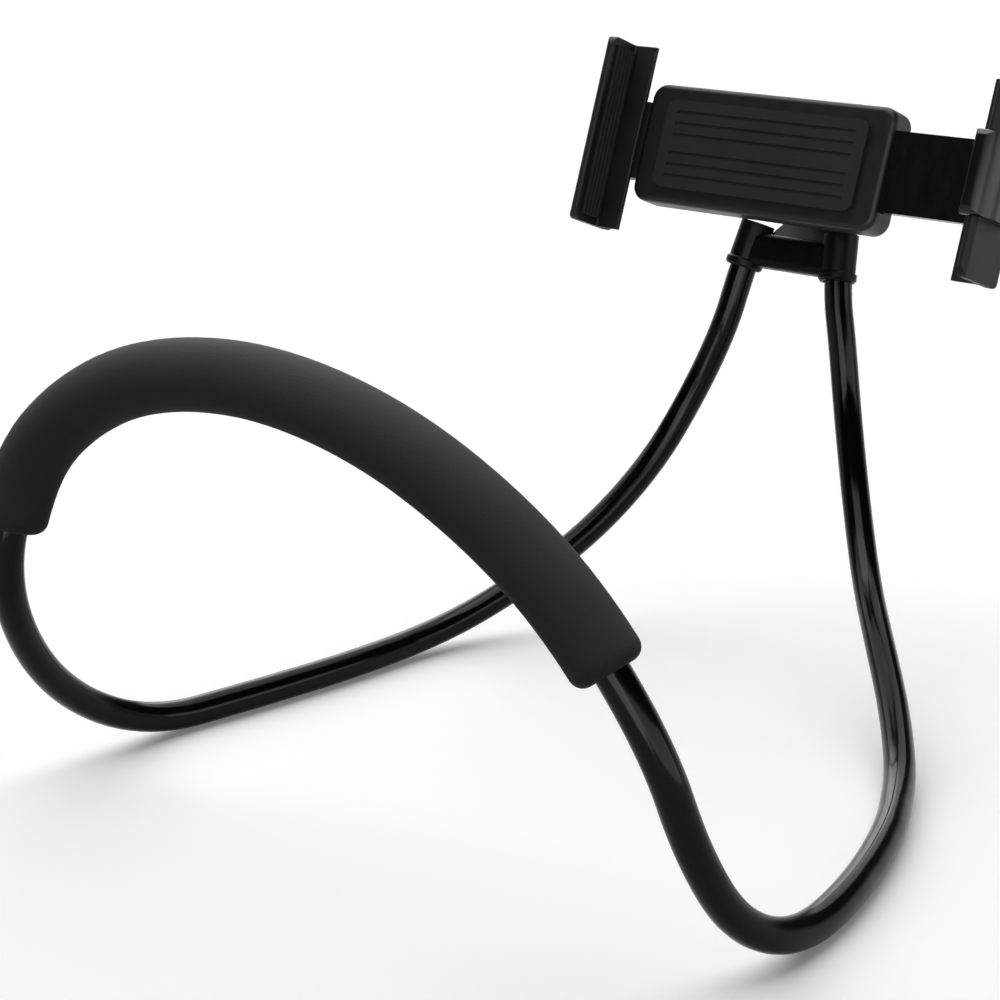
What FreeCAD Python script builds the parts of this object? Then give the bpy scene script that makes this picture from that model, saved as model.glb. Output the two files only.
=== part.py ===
import FreeCAD, Part
import math
import os
import Sketcher

from FreeCAD import Placement, Rotation, Vector

# A holder worn round the neck: a bendable tube makes the loop, a foam sleeve lies on the nape,
# a fork joins the two tube ends, and a spring clamp sits on the fork's ball stud.
# All sizes are in millimetres, angles in degrees. The head is fork, ball joint and clamp: its own
# frame has the ball's centre at zero, x to the right, y to the back and z up along the jaws.
SIZES = {
    "tube_dia": 10.5,
    "foam_dia": 21.5,
    "foam_bore": 10.9,
    "foam_round": 3.5,
    "ball_x": -22.1,
    "ball_y": 149.7,
    "ball_z": 179.5,
    "tilt_angle": 18.4,
    "roll_angle": 1.6,
    "ball_dia": 17.0,
    "ball_play": 0.05,
    "neck_dia": 8.0,
    "stud_flange_dia": 14.0,
    "stud_flange_thick": 1.3,
    "stud_pin_dia": 6.0,
    "pin_play": 0.05,
    "boss_front": 12.8,
    "boss_dia": 18.0,
    "fork_back": 20.0,
    "fork_web_front": 13.5,
    "fork_foot_wide": 27.0,
    "fork_heel": 12.0,
    "fork_throat": 7.0,
    "fork_inset": 1.0,
    "fork_round": 4.0,
    "socket_gap": 42.0,
    "socket_y": 5.0,
    "socket_mouth": -40.0,
    "socket_depth": 16.0,
    "splay_angle": 8.0,
    "socket_play": 0.05,
    "tube_lead": 24.0,
    "collar_dia": 13.2,
    "collar_tall": 18.0,
    "rim_dia": 14.6,
    "rim_tall": 3.8,
    "rim_edge": 0.9,
    "bar_thick": 10.5,
    "bar_round": 3.0,
    "bar_low": -39.0,
    "bar_high": -26.0,
    "petal_dia": 22.0,
    "petal_tip": 4.0,
    "petal_tip_dia": 19.2,
    "petal_slot": 1.6,
    "nut_play": 0.1,
    "nut_dia": 29.0,
    "nut_front": -6.5,
    "nut_back": 6.5,
    "nut_hole_dia": 18.6,
    "cover_back": -8.0,
    "cover_thick": 3.0,
    "case_left": -62.0,
    "case_right": 45.0,
    "case_tall": 46.0,
    "case_front": -22.0,
    "case_wall": 2.2,
    "case_corner": 6.0,
    "arm_wide": 30.0,
    "arm_thick": 4.0,
    "arm_tail": 8.0,
    "arm_play": 0.2,
    "ear_long": 4.0,
    "hook_thick": 4.8,
    "hook_lip": 3.0,
    "hook_reach": 6.4,
    "hook_round": 8.0,
    "hook_heel": 4.6,
    "hook_corner": 3.0,
    "jaw_left": -71.5,
    "jaw_right": 89.5,
    "jaw_tall": 72.0,
    "jaw_wall": 2.8,
    "jaw_leg": 10.0,
    "jaw_leg_thick": 2.0,
    "jaw_deep": 16.5,
    "jaw_lip": 0.8,
    "jaw_seat": -22.3,
    "jaw_back": -12.5,
    "jaw_corner": 4.0,
    "pad_thick": 0.8,
    "ridge_tall": 0.6,
    "pad_margin": 0.9,
    "pad_tall": 66.0,
    "rest_thick": 1.6,
    "rest_wide": 88.0,
    "rest_tall": 34.0,
    "spring_dia": 3.8,
    "spring_hole": 2.6,
    "spring_play": 0.4,
    "post_inset": 9.0,
    "post_dia": 2.4,
    "boss_inset": 4.6,
    "screw_boss_dia": 5.4,
    "screw_dia": 2.2,
    "screw_head_dia": 5.2,
    "screw_head_tall": 1.3,
    "screw_long": 6.0,
    "jaw_screw_z": 9.0,
    "jaw_screw_long": 6.4,
    "grub_dia": 3.0,
    "grub_up": 9.0,
    "screw_play": 0.1,
    "stud_screw_head_dia": 7.0,
    "stud_screw_head_tall": 2.2,
    "stud_screw_long": 6.0,
    "stud_hole_deep": 8.0,
    "sunk": 0.4,
    "head_play": 0.2,
    "thread_play": 0.05,
    "rail_inset": 14.0,
    "rail_out": 11.0,
    "rail_thick": 2.0,
    "cover_round": 1.8,
    "tray_round": 2.2,
    "rest_corner": 4.0,
    "groove_wide": 1.2,
    "groove_deep": 0.5,
    "groove_pitch": 4.4,
    "groove_inset": 5.0,
}

# The tube's route between the two sockets, as corners of straight runs.
# From the left socket down to the floor, up the left of the neck, over the nape and back.
ROUTE = [
    (-56.1, 129.7, 92), (-66.1, 112.7, 62), (-81.1, 87.7, 35), (-100.1, 55.2, 13),
    (-112.1, 28.7, 5.25), (-116.6, -14.3, 5.25), (-123.6, -58.3, 5.25), (-132.5, -102.3, 5.25),
    (-127.6, -143.6, 32.5), (-120.8, -165.6, 75), (-120.2, -157.2, 112.4), (-99.3, -154, 130.2),
    (-65.6, -153.3, 147), (-23.6, -153.8, 153.5), (18.4, -152.3, 147.5), (53.4, -148.8, 131),
    (81.4, -143.8, 106.5), (109.3, -140.4, 69), (117.7, -134.4, 40.5), (124.5, -121.2, 14.5),
    (131.8, -100.5, 5.25), (128.9, -64.3, 5.25), (115.9, -22.8, 5.25), (104.2, 5.8, 5.25),
    (92.2, 29.8, 5.25), (78.7, 48.8, 16), (59.3, 71.5, 28), (39.9, 97.2, 39),
    (23.2, 118.4, 62), (11.5, 133.4, 92),
]
# The sleeve starts and ends half way along these runs of the whole route.
FOAM_FIRST_RUN = 11
FOAM_LAST_RUN = 18
RIDGES = 5
# Long grooves in the rest pad, above and below its middle.
REST_GROOVES = 3
# Where a jaw's lip runs out into its wall, in thicknesses of the lip.
LIP_SLOPE = 1.6
NUT_SCALLOPS = 14

doc = FreeCAD.newDocument("neck_holder")
sheet = doc.addObject("Spreadsheet::Sheet", "sizes")
for row, (alias, number) in enumerate(SIZES.items(), 1):
    sheet.set("A%d" % row, alias)
    sheet.set("B%d" % row, str(number))
    sheet.setAlias("B%d" % row, alias)
doc.recompute()


def size(alias):
    """The number in one cell of the sheet."""
    return float(sheet.get(alias))


HEAD = Placement(
    Vector(size("ball_x"), size("ball_y"), size("ball_z")),
    Rotation(Vector(1, 0, 0), -size("tilt_angle")) * Rotation(Vector(0, 1, 0), size("roll_angle")),
)
TURN = {
    "x": Rotation(Vector(0, 1, 0), 90),
    "y": Rotation(Vector(1, 0, 0), -90),
    "z": Rotation(),
}
PLANE = {
    "XY": Rotation(),
    "XZ": Rotation(Vector(1, 0, 0), 90),
    "YZ": Rotation(Vector(0, 1, 0), Vector(0, 0, 1), Vector(1, 0, 0), "ZXY"),
}
OUT = {"XY": Vector(0, 0, 1), "XZ": Vector(0, 1, 0), "YZ": Vector(1, 0, 0)}
nodes = []


def bind(thing, **cells):
    """Ties properties of an object to cells of the sheet."""
    for name, formula in cells.items():
        thing.setExpression(name.replace("__", "."), formula)


def cylinder(name, axis, start, radius, height, turn=None):
    """A round bar from a start point along one axis of the head; sizes are formulas."""
    bar = doc.addObject("Part::Cylinder", name)
    bar.Placement = Placement(Vector(*start), turn or TURN[axis])
    bind(bar, Radius=radius, Height=height)
    return bar


def cone(name, axis, start, radius1, radius2, height, turn=None):
    """A tapered bar from a start point along one axis of the head; sizes are formulas."""
    bar = doc.addObject("Part::Cone", name)
    bar.Placement = Placement(Vector(*start), turn or TURN[axis])
    bind(bar, Radius1=radius1, Radius2=radius2, Height=height)
    return bar


def box(name, start, length, width, height):
    """A block from its lowest corner; the three sizes are formulas."""
    block = doc.addObject("Part::Box", name)
    block.Placement = Placement(Vector(*start), Rotation())
    bind(block, Length=length, Width=width, Height=height)
    return block


def fuse(name, shapes):
    joined = doc.addObject("Part::MultiFuse", name)
    joined.Shapes = shapes
    joined.Refine = True
    return joined


def cut(name, base, tool):
    left = doc.addObject("Part::Cut", name)
    left.Base = base
    left.Tool = tool
    left.Refine = True
    return left


def corner_arc(before, corner, after, radius):
    """The arc that rounds a flat corner: its start, its end, and the arc itself."""
    a = (before - corner).normalize()
    b = (after - corner).normalize()
    half = a.getAngle(b) / 2
    reach = radius / math.tan(half)
    start = corner + a * reach
    end = corner + b * reach
    middle = corner + (a + b).normalize() * (radius / math.sin(half))
    first = math.atan2(start.y - middle.y, start.x - middle.x)
    last = math.atan2(end.y - middle.y, end.x - middle.x)
    if (a.x * b.y - a.y * b.x) > 0:
        first, last = last, first
    circle = Part.Circle(middle, Vector(0, 0, 1), radius)
    return start, end, Part.ArcOfCircle(circle, first, last)


def outline(name, plane, corners, origin):
    """A closed flat outline; each corner is (u, v) or (u, v, rounding)."""
    sketch = doc.addObject("Sketcher::SketchObject", name)
    sketch.Placement = Placement(Vector(*origin), PLANE[plane])
    points = [Vector(c[0], c[1], 0) for c in corners]
    rounds = [c[2] if len(c) > 2 else 0 for c in corners]
    count = len(points)
    starts = []
    ends = []
    for i in range(count):
        if rounds[i]:
            before = points[i - 1]
            after = points[(i + 1) % count]
            start, end, arc = corner_arc(before, points[i], after, rounds[i])
            sketch.addGeometry(arc, False)
        else:
            start = points[i]
            end = points[i]
        starts.append(start)
        ends.append(end)
    for i in range(count):
        following = starts[(i + 1) % count]
        if ends[i].distanceToPoint(following) > 1e-6:
            sketch.addGeometry(Part.LineSegment(ends[i], following), False)
    return sketch


def slab(name, plane, corners, origin, length):
    """A flat outline drawn out square to its plane by a length given as a formula."""
    base = outline(name + "_outline", plane, corners, origin)
    solid = doc.addObject("Part::Extrusion", name)
    solid.Base = base
    solid.DirMode = "Custom"
    solid.Dir = OUT[plane]
    solid.Solid = True
    bind(solid, LengthFwd=length)
    return solid


def rounded(name, base, radius, wanted):
    """Rounds the edges of an object that a test picks out."""
    doc.recompute()
    edges = []
    for number, edge in enumerate(base.Shape.Edges, 1):
        if wanted(edge):
            edges.append((number, radius, radius))
    smooth = doc.addObject("Part::Fillet", name)
    smooth.Base = base
    smooth.Edges = edges
    return smooth


def in_plane(axis, level):
    """A test for edges that lie whole in a plane square to one axis."""
    def wanted(edge):
        box_of = edge.BoundBox
        low = getattr(box_of, axis.upper() + "Min")
        high = getattr(box_of, axis.upper() + "Max")
        return abs(low - level) < 1e-4 and abs(high - level) < 1e-4
    return wanted


def keep(thing, label, on_head=True):
    """Names a finished piece and sets it in its place."""
    thing.Label = label
    if on_head:
        thing.Placement = HEAD
    nodes.append(thing)
    return thing


# The tube and its sleeve
def socket_point(side, along):
    """A point on a socket's axis; along is measured from the mouth, downwards."""
    lean = math.radians(size("splay_angle"))
    mouth = Vector(side * size("socket_gap") / 2, size("socket_y"), size("socket_mouth"))
    down = Vector(side * math.sin(lean), 0, -math.cos(lean))
    return HEAD.multVec(mouth + down * along)


def whole_route():
    """All corners of the tube's route, with its two ends in the sockets."""
    inside = -size("socket_depth")
    middle = [Vector(*p) for p in ROUTE]
    first = [socket_point(-1, inside), socket_point(-1, size("tube_lead"))]
    last = [socket_point(1, size("tube_lead")), socket_point(1, inside)]
    return first + middle + last


def bends(corners):
    """For every inner corner: the bend's start, middle, end and radius."""
    found = {}
    for i in range(1, len(corners) - 1):
        before = corners[i] - corners[i - 1]
        after = corners[i + 1] - corners[i]
        reach = 0.45 * min(before.Length, after.Length)
        before.normalize()
        after.normalize()
        half = before.getAngle(after) / 2
        radius = reach / math.tan(half)
        inward = (after - before).normalize()
        middle = corners[i] + inward * (radius / math.cos(half) - radius)
        start = corners[i] - before * reach
        end = corners[i] + after * reach
        found[i] = (start, middle, end, radius)
    return found


def path(name, start, end, arcs):
    """A wire of straight runs and arcs from a start point to an end point."""
    edges = []
    here = start
    for begin, middle, finish, _ in arcs:
        edges.append(Part.LineSegment(here, begin).toShape())
        edges.append(Part.Arc(begin, middle, finish).toShape())
        here = finish
    edges.append(Part.LineSegment(here, end).toShape())
    wire = doc.addObject("Part::Feature", name)
    wire.Shape = Part.Wire(edges)
    return wire


def rod(name, wire, radius):
    """A round bar along a wire; the radius is a formula."""
    first = wire.Shape.Edges[0]
    heading = first.tangentAt(first.FirstParameter)
    ring = doc.addObject("Part::Circle", name + "_ring")
    ring.Placement = Placement(first.Vertexes[0].Point, Rotation(Vector(0, 0, 1), heading))
    bind(ring, Radius=radius)
    swept = doc.addObject("Part::Sweep", name)
    swept.Sections = [ring]
    swept.Spine = (wire, ["Edge%d" % (i + 1) for i in range(len(wire.Shape.Edges))])
    swept.Solid = True
    swept.Frenet = False
    return swept


def make_tube_and_foam():
    corners = whole_route()
    arcs = bends(corners)
    tube_path = path("tube_path", corners[0], corners[-1], [arcs[i] for i in sorted(arcs)])
    tube = keep(rod("gooseneck", tube_path, "sizes.tube_dia / 2"), "gooseneck", False)

    first = FOAM_FIRST_RUN
    last = FOAM_LAST_RUN
    start = (corners[first] + corners[first + 1]) * 0.5
    end = (corners[last] + corners[last + 1]) * 0.5
    inner = [arcs[i] for i in range(first + 1, last + 1)]
    foam_path = path("foam_path", start, end, inner)
    outer = rod("foam_outer", foam_path, "sizes.foam_dia / 2")
    bore = rod("foam_hollow", foam_path, "sizes.foam_bore / 2")
    doc.recompute()
    ends = rounded("foam_rounded", outer, size("foam_round"), lambda e: round_end(e, start, end))
    keep(cut("foam_sleeve", ends, bore), "foam_sleeve", False)

    print("bend radii", [round(arcs[i][3], 1) for i in sorted(arcs)])
    length = tube_path.Shape.Length
    area = math.pi * (size("tube_dia") / 2) ** 2
    print("tube volume", round(tube.Shape.Volume), "section x length", round(area * length))


def round_end(edge, start, end):
    """True for the rim circle at either end of the sleeve."""
    if not isinstance(edge.Curve, Part.Circle):
        return False
    middle = edge.Curve.Center
    at_end = min(middle.distanceToPoint(start), middle.distanceToPoint(end)) < 0.5
    return at_end and abs(edge.Curve.Radius - size("foam_dia") / 2) < 1e-3


# The fork that joins the tube ends and carries the ball stud
def make_fork():
    back = size("fork_back")
    front = size("fork_web_front")
    low = size("bar_low")
    high = size("bar_high")
    mid = size("socket_y")
    half = size("bar_thick") / 2
    gap = size("socket_gap")
    top = size("boss_dia") / 2
    foot = size("fork_foot_wide") / 2
    inset = size("fork_inset")
    bend = size("fork_round")
    edge = size("bar_round")
    solids = []
    bar_corners = [
        (mid - half, low, edge), (mid + half, low, edge),
        (mid + half, high, edge), (mid - half, high, edge),
    ]
    solids.append(slab("fork_bar", "YZ", bar_corners, (-gap / 2, 0, 0), "sizes.socket_gap"))
    side_corners = [
        (mid - half + inset, low + inset, bend / 2), (mid + half, low + inset, bend),
        (back, low + size("fork_heel"), bend), (back, 0), (front, 0),
        (front, high + size("fork_throat"), bend), (mid + inset, high - inset, bend / 2),
        (mid - half + inset, high - inset, bend / 3),
    ]
    front_corners = [
        (-foot, low, bend / 2), (foot, low, bend / 2), (foot, high, bend), (top, -top, 2 * bend),
        (top, 0), (-top, 0), (-top, -top, 2 * bend), (-foot, high, bend),
    ]
    web = doc.addObject("Part::Common", "fork_web")
    web.Base = slab("fork_side", "YZ", side_corners, (-foot, 0, 0), "sizes.fork_foot_wide")
    web.Tool = slab("fork_front", "XZ", front_corners, (0, mid - half, 0), "sizes.fork_back * 2")
    solids.append(web)
    boss = cylinder("fork_boss", "y", (0, size("boss_front"), 0), "sizes.boss_dia / 2",
                    "sizes.fork_back - sizes.boss_front")
    solids.append(boss)
    holes = [cylinder("fork_pin_hole", "y", (0, size("boss_front") - 1, 0),
                      "sizes.stud_pin_dia / 2 + sizes.pin_play", "sizes.fork_back")]
    seat = back - size("stud_screw_head_tall") - size("sunk")
    holes.append(cylinder("fork_screw_seat", "y", (0, seat, 0),
                          "sizes.stud_screw_head_dia / 2 + sizes.sunk", "sizes.fork_back"))
    for side, name in ((-1, "left"), (1, "right")):
        turn = Rotation(Vector(0, 1, 0), -side * size("splay_angle"))
        start = (side * gap / 2, mid, size("socket_mouth"))
        solids.append(cylinder("collar_" + name, "z", start, "sizes.collar_dia / 2",
                               "sizes.collar_tall", turn))
        solids += rim_bead(name, start, turn)
        holes.append(cylinder("socket_" + name, "z", start,
                              "sizes.tube_dia / 2 + sizes.socket_play",
                              "sizes.socket_depth", turn))
        holes.append(cylinder("grub_hole_" + name, "y", grub_spot(side, 0),
                              "sizes.grub_dia / 2 + sizes.thread_play", "sizes.collar_dia"))
    body = fuse("fork_solid", solids)
    keep(cut("fork", body, fuse("fork_holes", holes)), "fork")


def rim_bead(name, start, turn):
    """The bead round a collar's mouth: a short drum with a sloped edge below and above."""
    edge = size("rim_edge")
    along = turn.multVec(Vector(0, 0, 1))
    foot = Vector(*start)
    drum = foot + along * edge
    top = foot + along * (size("rim_tall") - edge)
    slim = "sizes.rim_dia / 2 - sizes.rim_edge"
    return [
        cone("rim_low_" + name, "z", tuple(foot), slim, "sizes.rim_dia / 2", "sizes.rim_edge", turn),
        cylinder("rim_" + name, "z", tuple(drum), "sizes.rim_dia / 2",
                 "sizes.rim_tall - 2 * sizes.rim_edge", turn),
        cone("rim_high_" + name, "z", tuple(top), "sizes.rim_dia / 2", slim, "sizes.rim_edge", turn),
    ]


def grub_spot(side, out):
    """A point on a grub screw's axis, so far behind the collar's own axis."""
    lean = math.radians(size("splay_angle"))
    x = side * (size("socket_gap") / 2 - size("grub_up") * math.sin(lean))
    z = size("socket_mouth") + size("grub_up") * math.cos(lean)
    return (x, size("socket_y") + out, z)


# The headless screws that hold the tube ends in the collars
def make_tube_screws():
    tip = size("tube_dia") / 2 + size("socket_play")
    screws = []
    for side, name in ((-1, "left"), (1, "right")):
        plug = cylinder("grub_" + name, "y", grub_spot(side, tip), "sizes.grub_dia / 2",
                        "(sizes.collar_dia - sizes.tube_dia) / 2 - sizes.socket_play")
        key = cylinder("grub_key_" + name, "y", grub_spot(side, tip + size("sunk")),
                       "sizes.grub_dia / 4", "sizes.collar_dia")
        screws.append(cut("grub_screw_" + name, plug, key))
    group = doc.addObject("Part::Compound", "tube_screws")
    group.Links = screws
    keep(group, "tube_screws")


# The ball stud and the screw that holds it in the fork
def make_stud():
    ball = doc.addObject("Part::Sphere", "ball")
    bind(ball, Radius="sizes.ball_dia / 2")
    front = size("boss_front")
    flange = size("stud_flange_thick")
    seat = size("fork_back") - size("stud_screw_head_tall") - size("sunk")
    neck = cylinder("stud_neck", "y", (0, 2, 0), "sizes.neck_dia / 2", "sizes.boss_front - 2.5")
    plate = cylinder("stud_flange", "y", (0, front - flange, 0), "sizes.stud_flange_dia / 2",
                     "sizes.stud_flange_thick")
    pin = cylinder("stud_pin", "y", (0, front - flange, 0), "sizes.stud_pin_dia / 2",
                   "sizes.fork_back - sizes.stud_screw_head_tall - 1.5 * sizes.sunk"
                   " - sizes.boss_front + sizes.stud_flange_thick")
    hole = cylinder("stud_hole", "y", (0, seat - size("stud_hole_deep"), 0),
                    "sizes.screw_dia / 2 + sizes.thread_play", "sizes.fork_back")
    keep(cut("ball_stud", fuse("stud_solid", [ball, neck, plate, pin]), hole), "ball_stud")

    head = cylinder("stud_screw_head", "y", (0, seat, 0), "sizes.stud_screw_head_dia / 2",
                    "sizes.stud_screw_head_tall")
    shank = cylinder("stud_screw_shank", "y", (0, seat - size("stud_screw_long"), 0),
                     "sizes.screw_dia / 2", "sizes.stud_screw_long + sizes.sunk")
    domed = rounded("stud_screw_domed", head, 0.8, in_plane("y", seat + size("stud_screw_head_tall")))
    slots = cross("stud_screw", (0, seat + size("stud_screw_head_tall") - 0.9, 0), 3.6)
    keep(cut("stud_screw", fuse("stud_screw_solid", [domed, shank]), slots), "stud_screw")


def cross(name, at, long):
    """The cross recess of a screw head that faces the back."""
    one = box(name + "_slot_x", (at[0] - long / 2, at[1], at[2] - 0.35), str(long), "3", "0.7")
    two = box(name + "_slot_z", (at[0] - 0.35, at[1], at[2] - long / 2), "0.7", "3", str(long))
    return fuse(name + "_slots", [one, two])


# The ribbed nut that squeezes the socket round the ball
def make_nut():
    front = size("nut_front")
    back = size("nut_back")
    outer = size("nut_dia") / 2
    bore = size("petal_dia") / 2 + size("nut_play")
    tip = size("petal_tip_dia") / 2 + size("nut_play")
    hole = size("nut_hole_dia") / 2
    corners = [
        (bore, front), (outer - 0.6, front, 0.8), (outer, front + 2, 1), (outer, back - 2.5, 1.5),
        (outer - 2, back, 1.2), (hole, back), (hole, size("petal_tip") + 0.4),
        (tip, size("petal_tip")), (bore, 0),
    ]
    section = outline("nut_section", "XY", corners, (0, 0, 0))
    ring = doc.addObject("Part::Revolution", "nut_ring")
    ring.Source = section
    ring.Axis = Vector(0, 1, 0)
    ring.Base = Vector(0, 0, 0)
    ring.Angle = 360
    ring.Solid = True
    scallops = []
    for i in range(NUT_SCALLOPS):
        turn = math.tau * (i + 0.5) / NUT_SCALLOPS
        reach = outer + 1.0
        spot = (reach * math.cos(turn), front + 2.2, reach * math.sin(turn))
        scallops.append(cylinder("nut_scallop_%d" % i, "y", spot, "1.9", "20"))
    keep(cut("lock_nut", ring, fuse("nut_scallops", scallops)), "lock_nut")


# The clamp's case: a tray at the front, a cover with the ball socket at the back
def case_corners(inset):
    left = size("case_left") + inset
    right = size("case_right") - inset
    top = size("case_tall") / 2 - inset
    bend = size("case_corner") - inset
    return [(left, -top, bend), (right, -top, bend), (right, top, bend), (left, top, bend)]


def screw_spots():
    inset = size("boss_inset")
    top = size("case_tall") / 2 - inset
    ends = (size("case_left") + inset, size("case_right") - inset)
    return [(x, z) for x in ends for z in (-top, top)]


def spring_spot(x):
    """A point on the upper spring's axis: behind the arm, close to the case's side wall."""
    radius = size("spring_dia") / 2
    arm_back = size("case_front") + size("case_wall") + size("arm_play") + size("arm_thick")
    level = arm_back + radius + size("spring_play")
    high = size("case_tall") / 2 - size("case_wall") - radius - size("spring_play")
    return Vector(x, level, high)


def post_x():
    """Where the springs' fixed ends hook on, and where their moving ends do."""
    return size("case_left") + size("post_inset"), size("arm_tail") + size("ear_long") / 2


def make_cover():
    back = size("cover_back")
    inner = back - size("cover_thick")
    plate = slab("cover_plate", "XZ", case_corners(0), (0, inner, 0), "sizes.cover_thick")
    smooth = rounded("cover_smooth", plate, size("cover_round"), in_plane("y", back))
    ring = cylinder("petal_ring", "y", (0, back - 1, 0), "sizes.petal_dia / 2",
                    "1 - sizes.cover_back")
    tips = cone("petal_tips", "y", (0, 0, 0), "sizes.petal_dia / 2", "sizes.petal_tip_dia / 2",
                "sizes.petal_tip")
    rails = []
    arm_back = size("case_front") + size("case_wall") + size("arm_thick") + 2 * size("arm_play")
    for side in (-1, 1):
        level = side * size("rail_out") - size("rail_thick") / 2
        start = (size("case_left") + size("rail_inset"), arm_back, level)
        rails.append(box("arm_rail_%d" % side, start,
                         "sizes.case_right - sizes.case_left - 1.3 * sizes.rail_inset",
                         str(inner - arm_back + 0.5), "sizes.rail_thick"))
    cup = doc.addObject("Part::Sphere", "socket_cup")
    bind(cup, Radius="sizes.ball_dia / 2 + sizes.ball_play")
    reach = size("petal_dia")
    slit = size("petal_slot")
    slits = [
        box("petal_slit_x", (-reach / 2, back + 1.5, -slit / 2), "sizes.petal_dia", "30",
            "sizes.petal_slot"),
        box("petal_slit_z", (-slit / 2, back + 1.5, -reach / 2), "sizes.petal_slot", "30",
            "sizes.petal_dia"),
    ]
    holes = [cup] + slits
    for i, (x, z) in enumerate(screw_spots()):
        holes.append(cylinder("cover_hole_%d" % i, "y", (x, inner - 1, z),
                              "sizes.screw_dia / 2 + sizes.screw_play", "20"))
        holes.append(cylinder("cover_seat_%d" % i, "y", (x, back - size("screw_head_tall"), z),
                              "sizes.screw_head_dia / 2 + sizes.head_play", "20"))
    body = fuse("cover_solid", [smooth, ring, tips] + rails)
    keep(cut("rear_cover", body, fuse("cover_holes", holes)), "rear_cover")


def hook_corners(face, side):
    """Levels of the arm's end round a jaw, for the jaw's outer face at x and the side it is on."""
    rear = size("case_front") + size("case_wall") + size("arm_play") + size("arm_thick")
    seat = size("jaw_seat")
    lip = seat - size("jaw_leg_thick") - size("jaw_deep")
    out = face + side * size("hook_thick")
    tip = lip - size("hook_lip")
    reach = face - side * size("hook_reach")
    inward = face - side * (size("jaw_wall") + size("jaw_leg") - 0.5)
    return rear, seat, lip, out, tip, reach, inward


def jaw_screw_spots(side):
    """Where the two screws of a jaw go in, from behind."""
    x = jaw_back(side) - side * (size("jaw_wall") + size("jaw_leg") / 2)
    return [(x, z) for z in (-size("jaw_screw_z"), size("jaw_screw_z"))]


def jaw_screw_holes(side, name):
    """The holes and head seats of a jaw's screws in the arm that carries it."""
    rear, seat, _, _, _, _, _ = hook_corners(jaw_back(side), side)
    head = rear - size("screw_head_tall")
    holes = []
    for i, (x, z) in enumerate(jaw_screw_spots(side)):
        holes.append(cylinder("%s_hole_%d" % (name, i), "y", (x, seat - 1, z),
                              "sizes.screw_dia / 2 + sizes.screw_play", "20"))
        holes.append(cylinder("%s_seat_%d" % (name, i), "y", (x, head, z),
                              "sizes.screw_head_dia / 2 + sizes.head_play", "20"))
    return holes


def jaw_back(side):
    """Where the outer face of a jaw's wall lies."""
    face = size("jaw_right") if side > 0 else size("jaw_left")
    return face + side * (size("pad_thick") + size("ridge_tall") + size("jaw_wall"))


def make_tray():
    front = size("case_front")
    wall = size("case_wall")
    inner = size("cover_back") - size("cover_thick")
    block = slab("tray_block", "XZ", case_corners(0), (0, front, 0),
                 "sizes.cover_back - sizes.cover_thick - sizes.case_front")
    smooth = rounded("tray_smooth", block, size("tray_round"), in_plane("y", front))
    hollow = slab("tray_hollow", "XZ", case_corners(wall), (0, front + wall, 0), "30")
    shell = cut("tray_shell", smooth, hollow)
    extras = []
    for i, (x, z) in enumerate(screw_spots()):
        extras.append(cylinder("tray_boss_%d" % i, "y", (x, front + wall - 0.5, z),
                               "sizes.screw_boss_dia / 2",
                               "sizes.cover_back - sizes.cover_thick - sizes.case_front"
                               " - sizes.case_wall + 0.5"))
    fixed_end, _ = post_x()
    axis = spring_spot(fixed_end)
    for side in (-1, 1):
        spot = (axis.x, front + wall - 0.5, side * axis.z)
        extras.append(cylinder("spring_post_%d" % side, "y", spot, "sizes.post_dia / 2",
                               "sizes.cover_back - sizes.cover_thick - sizes.case_front"
                               " - sizes.case_wall"))
    rear, seat, _, _, _, _, _ = hook_corners(jaw_back(-1), -1)
    face = jaw_back(-1)
    join = size("case_left") + wall / 2
    stub = [(join, rear), (face, rear, 1.2), (face, seat), (join, seat)]
    wide = size("arm_wide")
    extras.append(slab("tray_stub", "XY", stub, (0, 0, -wide / 2), "sizes.arm_wide"))
    body = fuse("tray_solid", [shell] + extras)
    holes = jaw_screw_holes(-1, "tray_jaw")
    play = size("arm_play")
    slot_start = (size("case_right") - wall - 1, front + wall - 0.0, -wide / 2 - play)
    holes.append(box("tray_slot", slot_start, "10",
                     "sizes.arm_thick + 2 * sizes.arm_play", "sizes.arm_wide + 2 * sizes.arm_play"))
    for i, (x, z) in enumerate(screw_spots()):
        holes.append(cylinder("tray_hole_%d" % i, "y", (x, inner - size("screw_long"), z),
                              "sizes.screw_dia / 2 + sizes.thread_play", "20"))
    keep(cut("clamp_tray", body, fuse("tray_holes", holes)), "clamp_tray")


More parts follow.
